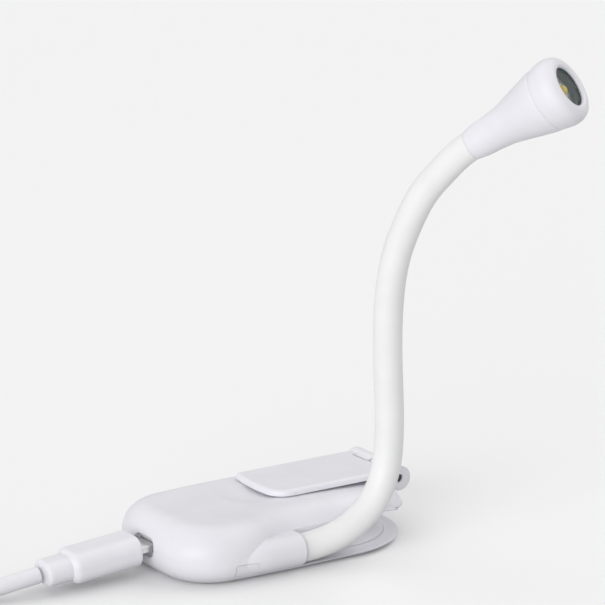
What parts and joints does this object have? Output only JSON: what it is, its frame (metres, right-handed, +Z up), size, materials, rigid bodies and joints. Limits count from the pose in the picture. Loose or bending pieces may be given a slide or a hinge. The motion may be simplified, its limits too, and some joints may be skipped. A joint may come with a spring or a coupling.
{
  "type": "clip-on book light",
  "caption": "Rechargeable clip-on book light: a low rounded body with a sprung clip on top, a bendable neck with a small flared lamp head, and its charging cable plugged in.",
  "frame": {"origin": "on the body's flat underside, midway between its sides and 32.5 mm from its socket end", "axes": "+X along the body from the charging socket to the clip hinge, -Y the side that the neck leaves from, +Z up"},
  "size_m": [0.2007, 0.0881, 0.1237],
  "materials": {
    "white_plastic": "satin moulded, near white with a faint cool tint",
    "neck_silicone": "smooth soft silicone, near white",
    "neck_core": "bare wire bundle",
    "cable_jacket": "smooth soft jacket, near white",
    "black_plastic": "moulded",
    "dark_plastic": "dark, faintly blue-green",
    "circuit_board": "solder-masked board",
    "lamp_board": "pale masked board",
    "led_ceramic": "white ceramic",
    "led_phosphor": "yellow resin",
    "clear_plastic": "clear moulded window",
    "plated_steel": "nickel plated",
    "spring_steel": "drawn wire",
    "cell_foil": "laminated pouch foil",
    "lead_jacket": "thin insulated wire"
  },
  "bodies": {
    "root": {"upper_shell": "white_plastic", "base_shell": "white_plastic", "tact_switch": "black_plastic", "circuit_board": "circuit_board", "board_parts": "black_plastic", "battery_cell": "cell_foil", "battery_leads": "lead_jacket", "lamp_leads": "lead_jacket", "usb_socket": "plated_steel", "case_screws": "plated_steel", "hinge_pin": "plated_steel", "clip_spring": "spring_steel", "neck_ferrule": "plated_steel", "neck_sleeve_1": "neck_silicone", "neck_core_1": "neck_core", "micro_plug_grip": "cable_jacket", "micro_plug_shell": "plated_steel", "cable_lead": "cable_jacket", "cable_coil": "cable_jacket", "usb_a_grip": "cable_jacket", "usb_a_shell": "plated_steel"},
    "button": {"push_button": "white_plastic"},
    "clip": {"clip_plate": "white_plastic"},
    "neck_lower": {"neck_sleeve_2": "neck_silicone", "neck_core_2": "neck_core"},
    "neck_middle": {"neck_sleeve_3": "neck_silicone", "neck_core_3": "neck_core"},
    "neck_upper": {"neck_sleeve_4": "neck_silicone", "neck_core_4": "neck_core"},
    "head": {"neck_sleeve_5": "neck_silicone", "neck_core_5": "neck_core", "head_shell": "white_plastic", "head_cap": "white_plastic", "lamp_lens": "clear_plastic", "lamp_reflector": "dark_plastic", "lamp_board": "lamp_board", "led_package": "led_ceramic", "led_phosphor": "led_phosphor"}
  },
  "joints": [
    {"name": "clip_hinge", "type": "hinge", "parent": "root", "child": "clip", "pos_m": [0.0376, 0.0042, 0.0126], "axis": [0, 1, 0], "range_deg": [0, 42], "stiffness_Nm_per_rad": 0.08, "springref_deg": -22.92, "deforming": ["clip_spring"]},
    {"name": "button_press", "type": "slide", "parent": "root", "child": "button", "axis": [0, 1, 0], "range_m": [0, 0.0005], "stiffness_N_per_m": 500, "springref_m": -0.0002},
    {"name": "neck_base_bend", "type": "hinge", "parent": "root", "child": "neck_lower", "pos_m": [0.0184, -0.01995, 0.0124], "axis": [0, 1, 0], "range_deg": [-35, 40]},
    {"name": "neck_middle_bend", "type": "hinge", "parent": "neck_lower", "child": "neck_middle", "pos_m": [0.024, -0.0199, 0.0433], "axis": [1, 0, 0], "range_deg": [-45, 45]},
    {"name": "neck_upper_bend", "type": "hinge", "parent": "neck_middle", "child": "neck_upper", "pos_m": [0.0253, -0.0229, 0.078], "axis": [0.866, 0.5, 0], "range_deg": [-45, 45]},
    {"name": "head_turn", "type": "hinge", "parent": "neck_upper", "child": "head", "pos_m": [0.0294, -0.03, 0.093], "axis": [0.3935, -0.6815, -0.617], "range_deg": [-45, 45]}
  ]
}
